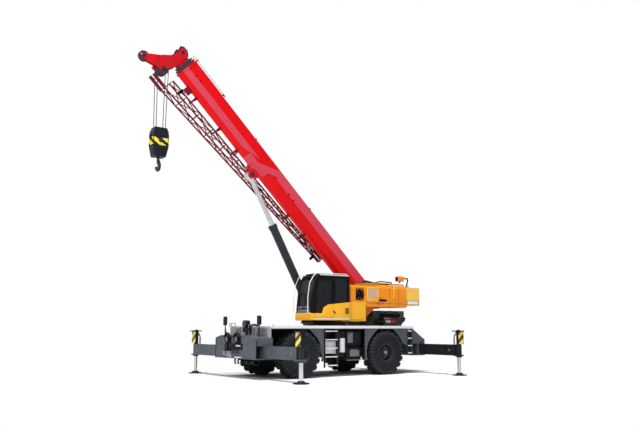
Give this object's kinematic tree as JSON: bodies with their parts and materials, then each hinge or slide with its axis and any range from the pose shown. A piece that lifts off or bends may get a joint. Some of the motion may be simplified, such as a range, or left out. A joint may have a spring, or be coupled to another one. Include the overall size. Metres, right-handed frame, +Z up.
{
  "type": "mobile crane",
  "caption": "Rough-terrain mobile crane with steered wheels, outriggers, slewing cab and telescopic boom that luffs, extends and carries a hook block and a stowed lattice jib.",
  "frame": {"origin": "on the floor under the slewing axis", "axes": "+X towards the carrier's front, +Y to its left, +Z up; metres"},
  "size_m": [11.7318, 7.42, 11.4714],
  "materials": {
    "carrier_grey": "satin",
    "deck_grey": "satin",
    "black_metal": "satin",
    "chrome": "polished",
    "axle_iron": "rough",
    "tyre": "worn",
    "rim_grey": "satin",
    "upper_yellow": "satin",
    "weight_yellow": "satin",
    "boom_red": "gloss",
    "jib_red": "satin",
    "cab_yellow": "gloss",
    "glass": "clear",
    "seat_fabric": "woven",
    "console_plastic": "matte",
    "steel": "worn",
    "rope_steel": "greased",
    "block_black": "satin",
    "ladder_white": "satin",
    "engine_block": "rough"
  },
  "bodies": {
    "carrier": {"chassis": "carrier_grey", "deck": "deck_grey", "outrigger_boxes": "carrier_grey", "axles": "axle_iron", "engine_hood": "carrier_grey", "engine": "engine_block", "silencer": "steel", "lockers": "carrier_grey", "fenders": "deck_grey", "ladders": "ladder_white", "fascia": "deck_grey", "headlights": "black_metal", "mirrors": "black_metal", "tow_hook": "black_metal"},
    "upper": {"slew_table": "upper_yellow", "side_hoods": "upper_yellow", "side_box": "carrier_grey", "counterweight": "weight_yellow", "cab_shell": "cab_yellow", "cab_glass": "glass", "seat": "seat_fabric", "console": "console_plastic"},
    "cab_door": {"door": "cab_yellow", "door_glass": "glass"},
    "main_winch": {"winch_main": "steel"},
    "aux_winch": {"winch_aux": "steel"},
    "boom": {"boom_base": "boom_red", "jib": "jib_red"},
    "section_two": {"boom_second": "boom_red"},
    "section_three": {"boom_third": "boom_red"},
    "section_tip": {"boom_tip": "boom_red", "head_sheaves": "steel"},
    "luff_rod": {"ram_rod": "chrome"},
    "luff_barrel": {"ram_barrel": "black_metal"},
    "falls": {"hoist_ropes": "rope_steel"},
    "lower_block": {"hook_block": "block_black"},
    "load_hook": {"hook": "steel"},
    "outrigger_fl": {"beam_fl": "carrier_grey"},
    "foot_fl": {"leg_fl": "chrome"},
    "steer_fl": {"knuckle_fl": "axle_iron"},
    "wheel_fl": {"rim_fl": "rim_grey", "tyre_fl": "tyre"},
    "outrigger_fr": {"beam_fr": "carrier_grey"},
    "foot_fr": {"leg_fr": "chrome"},
    "steer_fr": {"knuckle_fr": "axle_iron"},
    "wheel_fr": {"rim_fr": "rim_grey", "tyre_fr": "tyre"},
    "outrigger_rl": {"beam_rl": "black_metal"},
    "foot_rl": {"leg_rl": "chrome"},
    "steer_rl": {"knuckle_rl": "axle_iron"},
    "wheel_rl": {"rim_rl": "rim_grey", "tyre_rl": "tyre"},
    "outrigger_rr": {"beam_rr": "black_metal"},
    "foot_rr": {"leg_rr": "chrome"},
    "steer_rr": {"knuckle_rr": "axle_iron"},
    "wheel_rr": {"rim_rr": "rim_grey", "tyre_rr": "tyre"}
  },
  "joints": [
    {"name": "slew", "type": "hinge", "parent": "carrier", "child": "upper", "pos_m": [0, 0, 1.87], "axis": [0, 0, 1], "continuous": true},
    {"name": "boom_luff", "type": "hinge", "parent": "upper", "child": "boom", "pos_m": [-1.9, 0, 3], "axis": [0, -1, 0], "range_deg": [-44.4, 33.6]},
    {"name": "tele_2", "type": "slide", "parent": "boom", "child": "section_two", "axis": [0.7145, 0, 0.6997], "range_m": [0, 7.7]},
    {"name": "tele_3", "type": "slide", "parent": "section_two", "child": "section_three", "axis": [0.7145, 0, 0.6997], "range_m": [0, 7.7]},
    {"name": "tele_tip", "type": "slide", "parent": "section_three", "child": "section_tip", "axis": [0.7145, 0, 0.6997], "range_m": [0, 7.7]},
    {"name": "ram_swing", "type": "hinge", "parent": "boom", "child": "luff_rod", "pos_m": [3.36348, 0, 7.27261], "axis": [0, -1, 0], "range_deg": [-16, 12]},
    {"name": "ram_stroke", "type": "slide", "parent": "luff_rod", "child": "luff_barrel", "axis": [-0.4861, 0, -0.8739], "range_m": [-1.5, 1.15]},
    {"name": "cab_door_swing", "type": "hinge", "parent": "upper", "child": "cab_door", "pos_m": [0.588, 1.456, 2.3], "axis": [0, 0, 1], "range_deg": [0, 90]},
    {"name": "main_winch_turn", "type": "hinge", "parent": "upper", "child": "main_winch", "pos_m": [-2.72, 0, 2.96], "axis": [0, 1, 0], "continuous": true},
    {"name": "aux_winch_turn", "type": "hinge", "parent": "upper", "child": "aux_winch", "pos_m": [-3.25, 0, 3], "axis": [0, 1, 0], "continuous": true},
    {"name": "hook_plumb", "type": "hinge", "parent": "section_tip", "child": "falls", "pos_m": [6.93362, 0, 10.55881], "axis": [0, -1, 0], "range_deg": [-34, 45]},
    {"name": "hook_hoist", "type": "slide", "parent": "falls", "child": "lower_block", "axis": [0, 0, -1], "range_m": [-1.6, 0], "deforming": ["hoist_ropes"]},
    {"name": "hook_swivel", "type": "hinge", "parent": "lower_block", "child": "load_hook", "pos_m": [6.93362, 0, 7.4], "axis": [0, 0, 1], "continuous": true},
    {"name": "beam_fl_slide", "type": "slide", "parent": "carrier", "child": "outrigger_fl", "axis": [0, 1, 0], "range_m": [-1.84, 0]},
    {"name": "leg_fl_slide", "type": "slide", "parent": "outrigger_fl", "child": "foot_fl", "axis": [0, 0, -1], "range_m": [-0.55, 0]},
    {"name": "steer_fl_turn", "type": "hinge", "parent": "carrier", "child": "steer_fl", "pos_m": [2.08, 0.88, 0.815], "axis": [0, 0, 1], "range_deg": [-30, 30]},
    {"name": "spin_fl", "type": "hinge", "parent": "steer_fl", "child": "wheel_fl", "pos_m": [2.08, 1.265, 0.815], "axis": [0, 1, 0], "continuous": true},
    {"name": "beam_fr_slide", "type": "slide", "parent": "carrier", "child": "outrigger_fr", "axis": [0, -1, 0], "range_m": [-1.84, 0]},
    {"name": "leg_fr_slide", "type": "slide", "parent": "outrigger_fr", "child": "foot_fr", "axis": [0, 0, -1], "range_m": [-0.55, 0]},
    {"name": "steer_fr_turn", "type": "hinge", "parent": "carrier", "child": "steer_fr", "pos_m": [2.08, -0.88, 0.815], "axis": [0, 0, 1], "range_deg": [-30, 30]},
    {"name": "spin_fr", "type": "hinge", "parent": "steer_fr", "child": "wheel_fr", "pos_m": [2.08, -1.265, 0.815], "axis": [0, 1, 0], "continuous": true},
    {"name": "beam_rl_slide", "type": "slide", "parent": "carrier", "child": "outrigger_rl", "axis": [0, 1, 0], "range_m": [-1.84, 0]},
    {"name": "leg_rl_slide", "type": "slide", "parent": "outrigger_rl", "child": "foot_rl", "axis": [0, 0, -1], "range_m": [-0.55, 0]},
    {"name": "steer_rl_turn", "type": "hinge", "parent": "carrier", "child": "steer_rl", "pos_m": [-1.82, 0.88, 0.815], "axis": [0, 0, -1], "range_deg": [-30, 30]},
    {"name": "spin_rl", "type": "hinge", "parent": "steer_rl", "child": "wheel_rl", "pos_m": [-1.82, 1.265, 0.815], "axis": [0, 1, 0], "continuous": true},
    {"name": "beam_rr_slide", "type": "slide", "parent": "carrier", "child": "outrigger_rr", "axis": [0, -1, 0], "range_m": [-1.84, 0]},
    {"name": "leg_rr_slide", "type": "slide", "parent": "outrigger_rr", "child": "foot_rr", "axis": [0, 0, -1], "range_m": [-0.55, 0]},
    {"name": "steer_rr_turn", "type": "hinge", "parent": "carrier", "child": "steer_rr", "pos_m": [-1.82, -0.88, 0.815], "axis": [0, 0, -1], "range_deg": [-30, 30]},
    {"name": "spin_rr", "type": "hinge", "parent": "steer_rr", "child": "wheel_rr", "pos_m": [-1.82, -1.265, 0.815], "axis": [0, 1, 0], "continuous": true}
  ],
  "couplings": [
    {"joint": "ram_swing", "follows": "boom_luff", "ratio": 0.34},
    {"joint": "ram_stroke", "follows": "boom_luff", "m_per_rad": 1.88},
    {"joint": "hook_plumb", "follows": "boom_luff", "ratio": -1}
  ]
}
